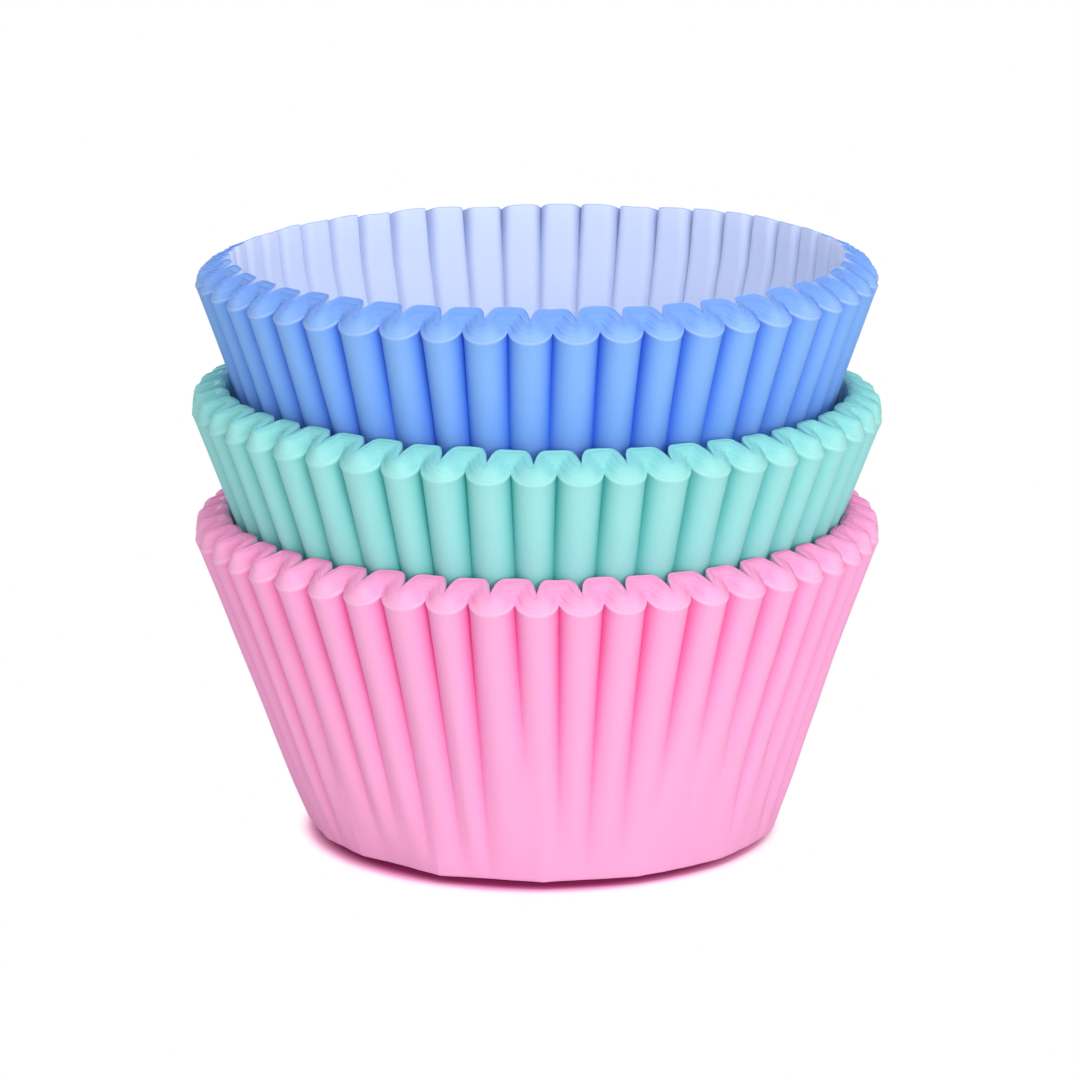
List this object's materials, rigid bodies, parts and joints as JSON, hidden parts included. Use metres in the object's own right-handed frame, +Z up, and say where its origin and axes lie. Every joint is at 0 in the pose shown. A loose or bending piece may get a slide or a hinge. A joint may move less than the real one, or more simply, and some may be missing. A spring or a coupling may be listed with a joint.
{
  "type": "stack of cupcake liners",
  "caption": "Stack of nested fluted paper baking cups, each nest in its own pastel colour, standing inside one another and open at the top.",
  "frame": {"origin": "centre of the flat underside of the bottom nest, on the surface it stands on", "axes": "+Z up along the stack; -Y is the front as in the picture, and +X is to the right of it"},
  "size_m": [0.072, 0.072, 0.0615],
  "materials": {
    "pink_paper": "matte greaseproof paper, dyed pink",
    "mint_paper": "matte greaseproof paper, dyed mint",
    "blue_paper": "matte greaseproof paper, dyed blue outside and paler inside"
  },
  "bodies": {
    "root": {"pink_liners": "pink_paper", "mint_liners": "mint_paper", "blue_liners": "blue_paper"}
  },
  "joints": []
}
